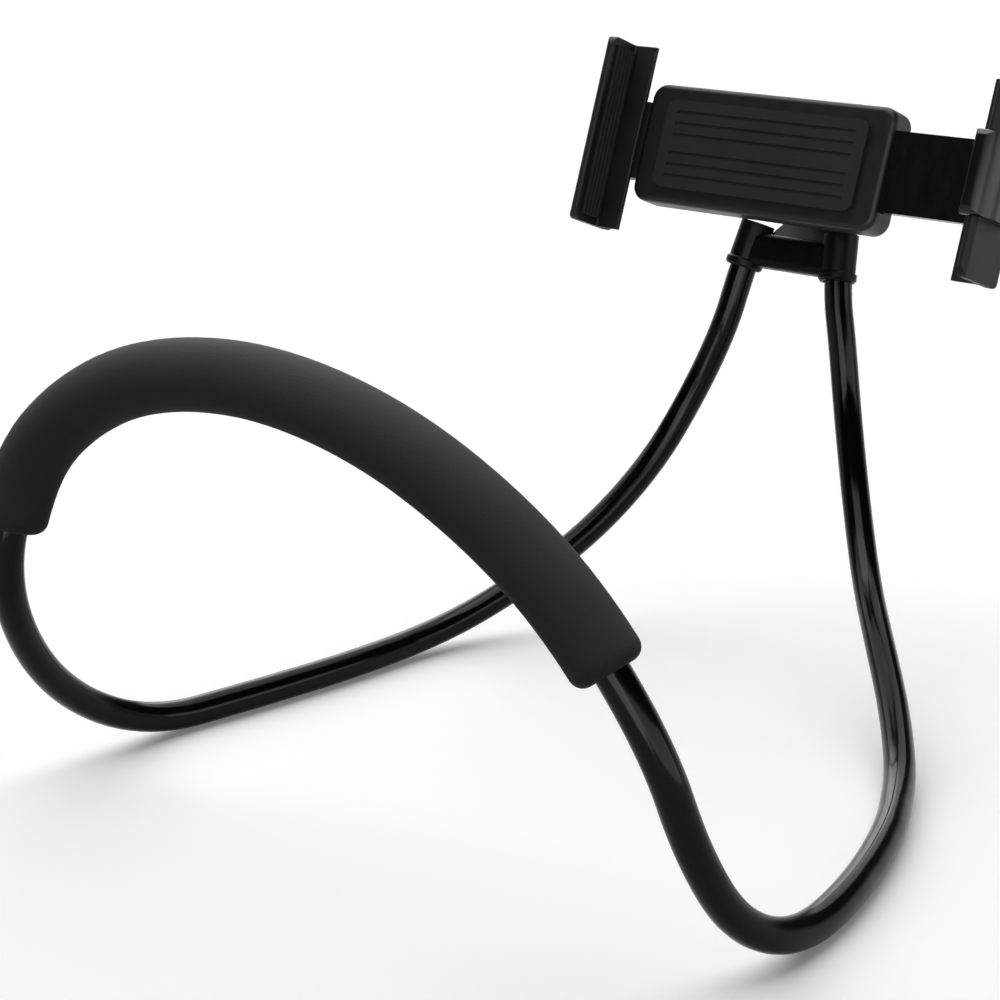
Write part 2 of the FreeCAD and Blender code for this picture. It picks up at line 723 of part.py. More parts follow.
def make_arm():
    rear, seat, lip, out, tip, reach, inward = hook_corners(jaw_back(1), 1)
    face = jaw_back(1)
    near = size("case_front") + size("case_wall") + size("arm_play")
    tail = size("arm_tail")
    wide = size("arm_wide")
    hook_view = [
        (inward, rear), (out, rear, size("hook_heel")), (out, tip, size("hook_round")),
        (reach, tip, 1.4), (reach, lip, 0.6), (face, lip), (face, seat), (inward, seat, 0.8),
    ]
    bend = size("hook_corner")
    side_view = [
        (tip, -wide / 2, bend), (rear, -wide / 2), (rear, wide / 2), (tip, wide / 2, bend),
    ]
    hook = doc.addObject("Part::Common", "arm_hook")
    hook.Base = slab("hook_section", "XY", hook_view, (0, 0, -wide / 2), "sizes.arm_wide")
    hook.Tool = slab("hook_side", "YZ", side_view, (inward - 1, 0, 0),
                     "sizes.hook_thick + sizes.jaw_wall + sizes.jaw_leg + 2")
    bar = box("arm_bar", (tail, near, -wide / 2), str(inward + 1 - tail), "sizes.arm_thick",
              "sizes.arm_wide")
    span = size("case_tall") - 2 * size("case_wall") - 0.6
    ears = box("arm_ears", (tail, near, -span / 2), "sizes.ear_long", "sizes.arm_thick",
               "sizes.case_tall - 2 * sizes.case_wall - 0.6")
    _, moving_end = post_x()
    axis = spring_spot(moving_end)
    pegs = []
    for side in (-1, 1):
        spot = (axis.x, near, side * axis.z)
        pegs.append(cylinder("arm_peg_%d" % side, "y", spot, "sizes.post_dia / 2",
                             "sizes.arm_thick + sizes.spring_dia + sizes.spring_play / 2"))
    body = fuse("arm_solid", [bar, hook, ears] + pegs)
    keep(cut("slide_arm", body, fuse("arm_holes", jaw_screw_holes(1, "arm_jaw"))), "slide_arm")


# The two jaws and their ridged pads
def make_jaw(side, label):
    face = jaw_back(side)
    wall = face - side * size("jaw_wall")
    seat = size("jaw_seat")
    back = size("jaw_back")
    leg = seat - size("jaw_leg_thick")
    lip = leg - size("jaw_deep")
    reach = wall - side * size("jaw_lip")
    inward = wall - side * size("jaw_leg")
    thin = size("jaw_leg_thick")
    corners = [
        (face, back, thin / 2), (face, lip, thin), (reach, lip, thin / 2),
        (reach, lip + thin, thin / 3), (wall, lip + LIP_SLOPE * thin, thin / 3), (wall, leg, thin / 3),
        (inward, leg, thin / 3), (inward, seat, thin / 3), (wall, seat, thin / 3),
        (wall, back, thin / 3),
    ]
    tall = size("jaw_tall")
    top = tall / 2
    section = slab(label + "_section", "XY", corners, (0, 0, -top), "sizes.jaw_tall")
    bend = size("jaw_corner")
    plate = [(lip, -top, bend), (back, -top, bend), (back, top, bend), (lip, top, bend)]
    side_view = slab(label + "_side", "YZ", plate, (min(inward, face) - 1, 0, 0),
                     "sizes.jaw_wall + sizes.jaw_leg + 2")
    shaped = doc.addObject("Part::Common", label + "_shaped")
    shaped.Base = section
    shaped.Tool = side_view
    wide = size("arm_wide")
    notch = box(label + "_notch", (min(wall, face) - 1, seat, -wide / 2), "sizes.jaw_wall + 2",
                "sizes.jaw_back - sizes.jaw_seat + 1", "sizes.arm_wide")
    holes = [notch]
    for i, (x, z) in enumerate(jaw_screw_spots(side)):
        holes.append(cylinder("%s_hole_%d" % (label, i), "y", (x, leg + 0.5, z),
                              "sizes.screw_dia / 2 + sizes.thread_play", "sizes.jaw_leg_thick"))
    keep(cut(label, shaped, fuse(label + "_holes", holes)), label)


def make_pad(side, label):
    base = jaw_back(side) - side * size("jaw_wall")
    flat = base - side * size("pad_thick")
    crest = flat - side * size("ridge_tall")
    thin = size("jaw_leg_thick")
    margin = size("pad_margin")
    first = size("jaw_seat") - thin - margin
    pitch = (size("jaw_deep") - LIP_SLOPE * thin - 2 * margin) / RIDGES
    corners = [(base, first), (flat, first)]
    for i in range(RIDGES):
        y = first - pitch * (i + 0.25)
        corners.append((flat, y))
        corners.append((crest, y - 0.2 * pitch))
        corners.append((crest, y - 0.5 * pitch))
        corners.append((flat, y - 0.7 * pitch))
    last = first - pitch * RIDGES
    corners.append((flat, last))
    corners.append((base, last))
    tall = size("pad_tall")
    keep(slab(label, "XY", corners, (0, 0, -tall / 2), "sizes.pad_tall"), label)


def make_rest_pad():
    middle = (size("case_left") + size("case_right")) / 2
    half = size("rest_wide") / 2
    top = size("rest_tall") / 2
    left = middle - half
    right = middle + half
    bend = size("rest_corner")
    corners = [(left, -top, bend), (right, -top, bend), (right, top, bend), (left, top, bend)]
    start = (0, size("case_front") - size("rest_thick"), 0)
    plate = slab("rest_plate", "XZ", corners, start, "sizes.rest_thick")
    grooves = []
    for side in (-1, 1):
        for i in range(REST_GROOVES):
            level = side * (i + 0.8) * size("groove_pitch") - size("groove_wide") / 2
            spot = (left + size("groove_inset"), start[1] - 1, level)
            grooves.append(box("rest_groove_%d_%d" % (side, i), spot,
                               "sizes.rest_wide - 2 * sizes.groove_inset", "sizes.groove_deep + 1",
                               "sizes.groove_wide"))
    keep(cut("rest_pad", plate, fuse("rest_grooves", grooves)), "rest_pad")


# The springs that pull the jaw in, and the screws that close the case
def make_springs():
    fixed_end, moving_end = post_x()
    gap = size("post_dia") / 2 + 0.2
    axis = spring_spot(fixed_end + gap)
    long = ("sizes.arm_tail + sizes.ear_long / 2 - sizes.case_left - sizes.post_inset"
            " - sizes.post_dia - 0.4")
    for side, name in ((1, "upper"), (-1, "lower")):
        spot = (axis.x, axis.y, side * axis.z)
        coil = cylinder("coil_" + name, "x", spot, "sizes.spring_dia / 2", long)
        core = cylinder("coil_core_" + name, "x", spot, "sizes.spring_hole / 2", long)
        label = "jaw_spring_" + name
        keep(cut(label, coil, core), label)


def screw(name, x, seat, z, long):
    """A cross-head screw that goes in from behind, with its head on a seat."""
    head = cylinder(name + "_head", "y", (x, seat, z), "sizes.screw_head_dia / 2",
                    "sizes.screw_head_tall - sizes.head_play")
    shank = cylinder(name + "_shank", "y", (x, seat - size(long), z), "sizes.screw_dia / 2",
                     "sizes.%s + 0.5" % long)
    top = seat + size("screw_head_tall") - size("head_play")
    slots = cross(name, (x, top - 0.7, z), 2.8)
    return cut(name, fuse(name + "_solid", [head, shank]), slots)


def make_jaw_screws(side, label):
    rear, _, _, _, _, _, _ = hook_corners(jaw_back(side), side)
    seat = rear - size("screw_head_tall")
    spots = enumerate(jaw_screw_spots(side))
    screws = [screw("%s_%d" % (label, i), x, seat, z, "jaw_screw_long") for i, (x, z) in spots]
    group = doc.addObject("Part::Compound", label)
    group.Links = screws
    keep(group, label)


def make_cover_screws():
    seat = size("cover_back") - size("screw_head_tall")
    spots = enumerate(screw_spots())
    screws = [screw("cover_screw_%d" % i, x, seat, z, "screw_long") for i, (x, z) in spots]
    group = doc.addObject("Part::Compound", "cover_screws")
    group.Links = screws
    keep(group, "cover_screws")


make_tube_and_foam()
make_fork()
make_tube_screws()
make_stud()
make_nut()
make_cover()
make_tray()
make_arm()
make_jaw(-1, "fixed_jaw")
make_jaw(1, "sliding_jaw")
make_pad(-1, "fixed_jaw_pad")
make_pad(1, "sliding_jaw_pad")
make_rest_pad()
make_springs()
make_jaw_screws(-1, "fixed_jaw_screws")
make_jaw_screws(1, "sliding_jaw_screws")
make_cover_screws()
doc.recompute()

for thing in doc.Objects:
    if "Invalid" in thing.State or "Error" in thing.State:
        raise RuntimeError("%s did not build: %s" % (thing.Name, thing.State))
    if hasattr(thing, "Shape") and not thing.isDerivedFrom("Sketcher::SketchObject"):
        if thing.Shape.isNull() or not thing.Shape.isValid():
            raise RuntimeError("%s has no valid shape" % thing.Name)

os.makedirs("parts", exist_ok=True)
for thing in nodes:
    thing.Shape.exportStep("parts/%s.step" % thing.Label)
    limits = thing.Shape.BoundBox
    print(thing.Label, len(thing.Shape.Solids), "solids", round(thing.Shape.Volume), "mm3",
          [round(v, 1) for v in (limits.XMin, limits.YMin, limits.ZMin,
                                 limits.XMax, limits.YMax, limits.ZMax)])
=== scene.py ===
# %% [markdown]
# # A holder worn round the neck, with a spring clamp on a ball joint
# The holder is one bendable black tube, bent into a loop that lies on the shoulders.
# A foam sleeve covers the part behind the neck, and a moulded fork joins the two tube ends.
# A clamp with two tall jaws sits on the fork's ball stud.
# Every piece could be modelled again in Blender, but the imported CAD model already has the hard
# shapes. So they stay as the frame and get their finishes here. Only tube and sleeve are made
# again, because the CAD bends them in arcs and the real ones bend in one smooth sweep.

# %% Load the CAD frame
import math

import bpy
from mathutils import Matrix, Vector


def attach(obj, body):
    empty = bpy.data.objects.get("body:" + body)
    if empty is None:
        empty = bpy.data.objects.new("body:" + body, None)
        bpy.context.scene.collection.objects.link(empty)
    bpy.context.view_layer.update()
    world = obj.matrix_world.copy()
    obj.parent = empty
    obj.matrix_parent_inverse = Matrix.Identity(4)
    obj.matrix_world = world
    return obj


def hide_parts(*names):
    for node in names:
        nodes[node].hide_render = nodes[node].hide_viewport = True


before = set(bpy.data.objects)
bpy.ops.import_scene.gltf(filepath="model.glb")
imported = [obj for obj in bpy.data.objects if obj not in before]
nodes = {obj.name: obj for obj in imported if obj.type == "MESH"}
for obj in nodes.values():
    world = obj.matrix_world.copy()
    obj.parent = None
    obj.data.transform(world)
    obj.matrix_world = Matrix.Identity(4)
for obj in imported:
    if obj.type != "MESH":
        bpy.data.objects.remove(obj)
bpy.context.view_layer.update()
print("CAD nodes:", sorted(nodes))

# %% [markdown]
# ## Glossy black vinyl for the tube
# The tube's skin is extruded vinyl, nearly black and shiny, with long thin highlights.
# A Glossy shader with one colour would do, but its highlights would be perfect lines.
# The Principled surface takes colour, gloss and relief in one node. So every finish here starts
# from it with plain values, and noises then drift them as the real surface does.

# %% Start the vinyl
VINYL_BLACK = (0.003, 0.003, 0.003)
VINYL_ROUGHNESS = 0.14
VINYL_SHINE = 0.12


def start_finish(name, colour, roughness, shine=0.5):
    """A new material with its plain values set: material, node tree and Principled surface."""
    finish = bpy.data.materials.new(name)
    finish.use_nodes = True
    tree = finish.node_tree
    surface = tree.nodes["Principled BSDF"]
    surface.inputs["Base Color"].default_value = (*colour, 1.0)
    surface.inputs["Roughness"].default_value = roughness
    surface.inputs["Specular IOR Level"].default_value = shine
    return finish, tree, surface


tube_vinyl, vinyl_tree, vinyl_surface = start_finish(
    "tube_vinyl", VINYL_BLACK, VINYL_ROUGHNESS, VINYL_SHINE)
print("started", tube_vinyl.name)

# %% [markdown]
# ### Waves, skin and scuffs in the vinyl
# Bending leaves a slow waviness in the vinyl, its skin has a fine grain, and handling dulls it
# here and there. A picture could carry all three, but it would need an unwrapped mesh.
# A noise needs none, because it can read Object coordinates. Every piece sits at the origin, so
# these are metres on the object: 24 cells a metre make a wave of about four centimetres.
# The grain also stays on its piece when a joint turns.

# %% Three noises for the vinyl
MM = 0.001                        # one millimetre, in metres
VINYL_WAVES = (24.0, 2.0)         # cells a metre, levels of detail
VINYL_SKIN = (900.0, 2.0)
VINYL_SCUFFS = (140.0, 5.0, 0.7)  # and how strong the finer levels are


def add_node(tree, kind, **values):
    """A new node with its inputs set by name."""
    node = tree.nodes.new(kind)
    for key, value in values.items():
        node.inputs[key.replace("_", " ")].default_value = value
    return node


def grain_place(tree, stretch=(1, 1, 1)):
    """Object coordinates in metres, scaled by one number along each axis."""
    place = tree.nodes.new("ShaderNodeTexCoord")
    scaled = add_node(tree, "ShaderNodeMapping", Scale=stretch)
    tree.links.new(place.outputs["Object"], scaled.inputs["Vector"])
    return scaled.outputs["Vector"]


def noise(tree, place, cells, detail, strong=0.55):
    """A noise of so many cells a metre."""
    clouds = add_node(tree, "ShaderNodeTexNoise", Scale=cells, Detail=detail, Roughness=strong)
    tree.links.new(place, clouds.inputs["Vector"])
    return clouds.outputs["Fac"]


vinyl_place = grain_place(vinyl_tree)
vinyl_waves = noise(vinyl_tree, vinyl_place, *VINYL_WAVES)
vinyl_skin = noise(vinyl_tree, vinyl_place, *VINYL_SKIN)
vinyl_scuffs = noise(vinyl_tree, vinyl_place, *VINYL_SCUFFS)
print("vinyl waves of", round(1 / VINYL_WAVES[0] / MM), "mm, skin grain of",
      round(1 / VINYL_SKIN[0] / MM, 1), "mm")

# %% [markdown]
# ### Gloss and tone of the vinyl
# Where vinyl was handled it is a little duller, and where it was stretched it is a little paler.
# Both could be painted by hand, but a noise gives the same unevenness on the tube's whole length.
# A Map Range node turns the scuffs into roughness, and a Color Ramp turns the waves into tone.
# A noise stays mostly near its middle, so only that part of its range is used.

# %% Drift the vinyl's gloss and tone
SCUFF_SPAN = (0.35, 0.7)    # the part of a noise's range that counts
CLOUD_SPAN = (0.3, 0.7)
VINYL_GLOSS = (0.10, 0.18)  # roughness, from polished to handled
VINYL_DARK = (0.0025, 0.0025, 0.0026)
VINYL_PALE = (0.0042, 0.0042, 0.0044)


def map_range(tree, value, span, out):
    """Maps a value from one span to another."""
    node = add_node(tree, "ShaderNodeMapRange", From_Min=span[0], From_Max=span[1],
                    To_Min=out[0], To_Max=out[1])
    tree.links.new(value, node.inputs["Value"])
    return node.outputs["Result"]


def drift_gloss(tree, surface, value, span, gloss):
    """Lets the roughness wander between two values."""
    tree.links.new(map_range(tree, value, span, gloss), surface.inputs["Roughness"])


def drift_tone(tree, surface, value, dark, pale):
    """Lets the colour wander between two tones."""
    ramp = tree.nodes.new("ShaderNodeValToRGB")
    for stop, position, tone in zip(ramp.color_ramp.elements, CLOUD_SPAN, (dark, pale)):
        stop.position = position
        stop.color = (*tone, 1.0)
    tree.links.new(value, ramp.inputs["Fac"])
    tree.links.new(ramp.outputs["Color"], surface.inputs["Base Color"])


drift_gloss(vinyl_tree, vinyl_surface, vinyl_scuffs, SCUFF_SPAN, VINYL_GLOSS)
drift_tone(vinyl_tree, vinyl_surface, vinyl_waves, VINYL_DARK, VINYL_PALE)
print("vinyl roughness from", VINYL_GLOSS[0], "to", VINYL_GLOSS[1])

# %% [markdown]
# ### Relief of the vinyl
# The waves and the skin are far lower than the tube is thick, and only bend its highlights.
# They could be cut into the mesh by a Displace modifier, but that takes a very fine mesh.
# A Bump node tilts the normals and leaves the mesh alone. Two of them are chained, so the
# fine skin lies on the slow waves.

# %% Raise the vinyl's waves and skin
VINYL_WAVE_RELIEF = (0.25, 0.003)   # strength, depth in metres
VINYL_SKIN_RELIEF = (0.06, 0.0001)


def raise_grain(tree, surface, height, strength, depth, under=None):
    """Raises the surface by a height map, on top of the relief under it; returns the new one."""
    node = add_node(tree, "ShaderNodeBump", Strength=strength, Distance=depth)
    tree.links.new(height, node.inputs["Height"])
    if under is not None:
        tree.links.new(under, node.inputs["Normal"])
    tree.links.new(node.outputs["Normal"], surface.inputs["Normal"])
    return node.outputs["Normal"]


wavy = raise_grain(vinyl_tree, vinyl_surface, vinyl_waves, *VINYL_WAVE_RELIEF)
raise_grain(vinyl_tree, vinyl_surface, vinyl_skin, *VINYL_SKIN_RELIEF, wavy)
print("made", tube_vinyl.name, "of", len(vinyl_tree.nodes), "nodes")

# %% [markdown]
# ## Matte foam for the sleeve
# The sleeve is soft closed-cell foam: dark grey, full of fine pores, and dull from every side.
# The pores could be real dents, but at less than a millimetre each they would take millions of
# faces. Here a Voronoi texture of 1500 cells a metre is the height of a Bump node, which gives
# pits of that size. A noise breaks up their order, and slow clouds keep tone and gloss uneven.

# %% The sleeve's foam
FOAM_GREY = (0.08, 0.08, 0.082)
FOAM_DARK = (0.074, 0.074, 0.076)
FOAM_PALE = (0.088, 0.088, 0.09)
FOAM_ROUGHNESS = 0.7
FOAM_SHINE = 0.04
FOAM_GLOSS = (0.66, 0.76)
FOAM_PORES = 1500.0               # cells a metre
FOAM_CLOUDS = (60.0, 4.0)
FOAM_GRAIN = (1100.0, 3.0)
FOAM_PORE_RELIEF = (0.25, 0.00015)
FOAM_CLOUD_RELIEF = (0.1, 0.001)


def make_foam():
    foam, tree, surface = start_finish("sleeve_foam", FOAM_GREY, FOAM_ROUGHNESS, FOAM_SHINE)
    place = grain_place(tree)
    pores = add_node(tree, "ShaderNodeTexVoronoi", Scale=FOAM_PORES)
    tree.links.new(place, pores.inputs["Vector"])
    clouds = noise(tree, place, *FOAM_CLOUDS)
    grain = noise(tree, place, *FOAM_GRAIN)
    drift_tone(tree, surface, clouds, FOAM_DARK, FOAM_PALE)
    drift_gloss(tree, surface, clouds, CLOUD_SPAN, FOAM_GLOSS)
    pitted = raise_grain(tree, surface, pores.outputs["Distance"], *FOAM_PORE_RELIEF)
    grained = raise_grain(tree, surface, grain, *FOAM_PORE_RELIEF, pitted)
    raise_grain(tree, surface, clouds, *FOAM_CLOUD_RELIEF, grained)
    return foam


sleeve_foam = make_foam()
print("made", sleeve_foam.name, "with pores of", round(1 / FOAM_PORES / MM, 2), "mm")

# %% [markdown]
# ## Moulded plastics and rubber
# Fork, stud, nut, case, arm and jaws are black moulded plastic, and the pads are black rubber.
# Each could have a material built from scratch. On the real holder they differ in four things:
# tone, roughness, shine, and the height of the grain that the mould left on them.
# So a table says how they differ, and one function makes them all. The arm is polished, the jaws
# are a little paler, the nut is duller, and the rubber is dullest.

# %% How the plastics differ
MOULDED = {
    # tone, roughness, shine, height of the grain in metres
    "case_plastic": (0.012, 0.40, 0.25, 0.00012),
    "fork_plastic": (0.006, 0.36, 0.08, 0.00010),
    "arm_plastic": (0.006, 0.22, 0.3, 0.00002),
    "jaw_plastic": (0.026, 0.46, 0.14, 0.00012),
    "nut_plastic": (0.014, 0.5, 0.25, 0.00014),
    "stud_plastic": (0.016, 0.34, 0.25, 0.00006),
    "pad_rubber": (0.032, 0.78, 0.15, 0.00020),
}
print("plastics and rubber:", list(MOULDED))

# %% [markdown]
# ### The grain that the mould leaves
# A steel mould is etched, so each moulding has a fine even grain, with slow clouds in its tone
# and upright scuffs from use. The grain could be a picture, repeated on every face, but its
# seams would show on parts this small. Three noises have no seams, and take the table's values.

# %% Make the plastics and the rubber
MOULD_GRAIN = (1600.0, 2.0)
MOULD_CLOUDS = (45.0, 3.0)
MOULD_SCUFFS = (260.0, 5.0, 0.7)
LONG_UPRIGHT = (1, 1, 0.2)        # scuffs five times as long upwards
MOULD_TINT = (1, 1, 1.03)         # black plastic is a little cool
MOULD_DARK = (0.85, 0.85, 0.88)
MOULD_PALE = (1.15, 1.15, 1.18)
POLISHED, HANDLED = -0.03, 0.05   # how far the roughness drifts
GRAIN_STRENGTH, CLOUD_STRENGTH = 0.25, 0.1
CLOUD_HEIGHT = 2                  # times the grain's height


def toned(tone, tint):
    """One tone, tinted by a factor for red, green and blue."""
    return [tone * part for part in tint]


def make_moulded(name, tone, roughness, shine, grain_height):
    finish, tree, surface = start_finish(name, toned(tone, MOULD_TINT), roughness, shine)
    place = grain_place(tree)
    grain = noise(tree, place, *MOULD_GRAIN)
    clouds = noise(tree, place, *MOULD_CLOUDS)
    scuffs = noise(tree, grain_place(tree, LONG_UPRIGHT), *MOULD_SCUFFS)
    drift_tone(tree, surface, clouds, toned(tone, MOULD_DARK), toned(tone, MOULD_PALE))
    drift_gloss(tree, surface, scuffs, SCUFF_SPAN, (roughness + POLISHED, roughness + HANDLED))
    grained = raise_grain(tree, surface, grain, GRAIN_STRENGTH, grain_height)
    raise_grain(tree, surface, clouds, CLOUD_STRENGTH, grain_height * CLOUD_HEIGHT, grained)
    return finish


finishes = {name: make_moulded(name, *values) for name, values in MOULDED.items()}
print("made", len(finishes), "moulded finishes, grain of", round(1 / MOULD_GRAIN[0] / MM, 2), "mm")

# %% [markdown]
# ## Steel for screws and springs
# The screws are dark steel and the springs are bright steel.
# Bare metal could be a Glossy shader. The Principled surface does the same with Metallic at 1:
# its colour is then the colour of the reflection, and the helpers above work on it as they are.
# One fine noise drifts tone, gloss and relief together, as brushing does.

# %% Steel
STEELS = {
    # tone, roughness
    "screw_steel": (0.28, 0.34),
    "spring_steel": (0.6, 0.28),
}
STEEL_PLAIN = (1, 1, 1)
STEEL_DARK = (0.8, 0.8, 0.82)
STEEL_BRUSHING = (900.0, 4.0)
STEEL_RELIEF = (0.1, 0.0001)
STEEL_BRIGHT, STEEL_DULL = -0.08, 0.1


def make_steel(name, tone, roughness):
    finish, tree, surface = start_finish(name, toned(tone, STEEL_PLAIN), roughness)
    surface.inputs["Metallic"].default_value = 1.0
    brushing = noise(tree, grain_place(tree), *STEEL_BRUSHING)
    drift_tone(tree, surface, brushing, toned(tone, STEEL_DARK), toned(tone, STEEL_PLAIN))
    drift_gloss(tree, surface, brushing, CLOUD_SPAN,
                (roughness + STEEL_BRIGHT, roughness + STEEL_DULL))
    raise_grain(tree, surface, brushing, *STEEL_RELIEF)
    return finish


for name, values in STEELS.items():
    finishes[name] = make_steel(name, *values)
print("made", list(STEELS), "and", len(bpy.data.materials), "materials in all")

# %% [markdown]
# ## Dress the hard CAD pieces
# Fork, stud, nut, case, arm, jaws, pads, springs and screws have the right shape in the CAD
# model. They could be built again as meshes, but that would only copy what is there.
# So they stay and get their finish. A table keeps finish and edge of each piece on one line.

# %% Give each CAD piece its finish
HARD_PIECES = {
    # finish, width of its soft edge in metres
    "fork": ("fork_plastic", 0.0006),
    "ball_stud": ("stud_plastic", 0.0003),
    "stud_screw": ("screw_steel", 0.0001),
    "lock_nut": ("nut_plastic", 0.0003),
    "rear_cover": ("case_plastic", 0.0003),
    "clamp_tray": ("case_plastic", 0.0003),
    "slide_arm": ("arm_plastic", 0.0005),
    "fixed_jaw": ("jaw_plastic", 0.0004),
    "sliding_jaw": ("jaw_plastic", 0.0004),
    "fixed_jaw_pad": ("pad_rubber", 0.0001),
    "sliding_jaw_pad": ("pad_rubber", 0.0001),
    "rest_pad": ("pad_rubber", 0.0004),
    "jaw_spring_upper": ("spring_steel", 0.0001),
    "jaw_spring_lower": ("spring_steel", 0.0001),
    "cover_screws": ("screw_steel", 0.0001),
    "fixed_jaw_screws": ("screw_steel", 0.0001),
    "sliding_jaw_screws": ("screw_steel", 0.0001),
    "tube_screws": ("screw_steel", 0.0001),
}

for name, (finish, _) in HARD_PIECES.items():
    slots = nodes[name].data.materials
    slots.clear()
    slots.append(finishes[finish])
print("finished", len(HARD_PIECES), "hard pieces")

# %% [markdown]
# ### Soft edges
# The CAD edges are razor sharp. Real moulded or turned edges are a little round, and each shows
# a thin line of light. Fillets could be cut in the CAD, but one on every edge would slow it down.
# A Bevel modifier rounds the sharp edges when Blender renders, and leaves the CAD mesh as it is.

# %% Soften the edges
SHARP_ANGLE = math.radians(40)  # flatter edges stay as they are
EDGE_STEPS = 2


def soften_edges(piece, width):
    edge = piece.modifiers.new("edge", "BEVEL")
    edge.width = width
    edge.segments = EDGE_STEPS
    edge.limit_method = "ANGLE"
    edge.angle_limit = SHARP_ANGLE
    edge.use_clamp_overlap = True
    edge.harden_normals = False


for name, (_, width) in HARD_PIECES.items():
    soften_edges(nodes[name], width)
widths = [width / MM for _, width in HARD_PIECES.values()]
print("edges rounded by", min(widths), "to", max(widths), "mm")

# %% [markdown]
# ## The route that tube and sleeve share
# The tube starts in the fork's left socket, runs down to the floor, along it, up and round behind
# the neck, and back into the right socket. The CAD tube is straight runs joined by arcs.
# A real bent tube has no such joints, so here the corners of those runs steer one smooth curve.
# Some are moved by a few millimetres, so that the curve lies where the arcs do and has no kinks.

# %% Corners of the route, in millimetres
ROUTE = [
    (-47.1, 135.4, 118.6), (-56.6, 129.2, 91.8), (-66, 112.8, 62.7), (-81.3, 87.5, 34.9),
    (-101.3, 55.4, 13.6), (-109.9, 28, 6), (-113.4, -13.4, 5.25), (-120.6, -57.5, 5.25),
    (-129.7, -102.3, 5.25), (-131.9, -141.4, 30.9), (-122.1, -166.6, 74.3), (-118.9, -156.2, 110.9),
    (-99.1, -153.8, 131.7), (-66.5, -154, 147.6), (-23.7, -153.8, 153.1), (18, -152.6, 146.3),
    (52.5, -149.5, 130.3), (81.7, -143.6, 105.6), (108.6, -141, 70.2), (116.7, -135.2, 39.8),
    (123.3, -122.2, 15.4), (129.9, -100.7, 5.25), (127, -65, 5.25), (116.2, -23.1, 5.25),
    (103.9, 5.8, 5.25), (94.9, 23.6, 8), (78.5, 48.7, 16), (59.8, 71.9, 28.2),
    (40.1, 97.4, 38.9), (23, 118.3, 62), (10, 132.2, 91.8), (3.9, 136.8, 117.4),
]
print("route with", len(ROUTE), "corners outside the sockets")

# %% [markdown]
# ### Into the sockets
# The fork's two collars are sockets that lean apart, and the tube has to leave each one straight.
# Its ends could be typed in as points too, but they would miss the sockets' axes a little.
# So they are worked out as the CAD does it: from the ball, turned with the head, and down
# along the leaning axis. Two points on each axis keep the tube straight there.

# %% Both ends of the route
BALL = Vector((-22.1, 149.7, 179.5))
HEAD_LEAN = math.radians(-18.4)
HEAD_ROLL = math.radians(1.6)
HEAD_TURN = Matrix.Rotation(HEAD_LEAN, 3, "X") @ Matrix.Rotation(HEAD_ROLL, 3, "Y")
SOCKET_LEAN = math.radians(8.0)
SOCKET_SIDE, SOCKET_BACK, SOCKET_MOUTH = 21.0, 5.0, -40.0  # from the ball, in millimetres
TUBE_END, TUBE_LEAVES = -15.8, 2.0                         # from the mouth, negative is inside
LEFT, RIGHT = -1, 1


def socket_point(side, along):
    """A point on a socket's axis, so far below its mouth, in millimetres."""
    mouth = Vector((side * SOCKET_SIDE, SOCKET_BACK, SOCKET_MOUTH))
    down = Vector((side * math.sin(SOCKET_LEAN), 0.0, -math.cos(SOCKET_LEAN)))
    return BALL + HEAD_TURN @ (mouth + down * along)


corners = [socket_point(LEFT, TUBE_END), socket_point(LEFT, TUBE_LEAVES)]
corners += [Vector(p) for p in ROUTE]
corners += [socket_point(RIGHT, TUBE_LEAVES), socket_point(RIGHT, TUBE_END)]
corners = [p * MM for p in corners]
apart = (corners[-1] - corners[0]).length / MM
print("route with", len(corners), "corners in all, its ends", round(apart), "mm apart")

# %% [markdown]
# ### One smooth line from the corners
# A Bezier curve would need two handles set at each corner. A NURBS curve needs none: the corners
# only pull it, and it cuts inside each one as a bent tube does.
# Its order has to be set after the points are added, or the curve stays a chain of straight runs.
# The curve is turned into points here, because both tube and sleeve are skinned on them.

# %% Draw the route and read points from it
LINE_STEPS = 10  # points of the line for each corner


def smooth_line(points):
    """Points along a NURBS curve that the given points steer, all in metres."""
    curve = bpy.data.curves.new("route", "CURVE")
    curve.dimensions = "3D"
    spline = curve.splines.new("NURBS")
    spline.points.add(len(points) - 1)
    for knot, point in zip(spline.points, points):
        knot.co = (*point, 1.0)
    spline.order_u = 3
    spline.use_endpoint_u = True
    spline.resolution_u = LINE_STEPS
    carrier = bpy.data.objects.new("route", curve)
    drawn = bpy.data.meshes.new_from_object(carrier)
    found = [v.co.copy() for v in drawn.vertices]
    bpy.data.objects.remove(carrier)
    bpy.data.curves.remove(curve)
    bpy.data.meshes.remove(drawn)
    return found


def length_of(points):
    return sum((b - a).length for a, b in zip(points, points[1:]))


line = smooth_line(corners)
print("route of", len(line), "points,", round(length_of(line), 3), "m long")

# %% [markdown]
# ## The tube
# The tube is one round bar of vinyl, 10.5 mm thick, with flat cut ends inside the fork's sockets.
# A curve with a round bevel would do for it, but the sleeve needs a radius that changes along
# its length. So one function skins a chain of rings for both.
# Each ring is turned only as much as the line turns, so the mesh doesn't twist along the tube.

# %% Rings along the line
def rings_along(points):
    """For each point: its place, and two directions square to the line that don't twist."""
    found = []
    side = None
    for i, point in enumerate(points):
        ahead = points[min(i + 1, len(points) - 1)]
        behind = points[max(i - 1, 0)]
        forward = (ahead - behind).normalized()
        if side is None:
            side = forward.orthogonal().normalized()
        side = (side - forward * side.dot(forward)).normalized()
        found.append((point, side, forward.cross(side)))
    return found


tube_rings = rings_along(line)
print("tube of", len(tube_rings), "rings")

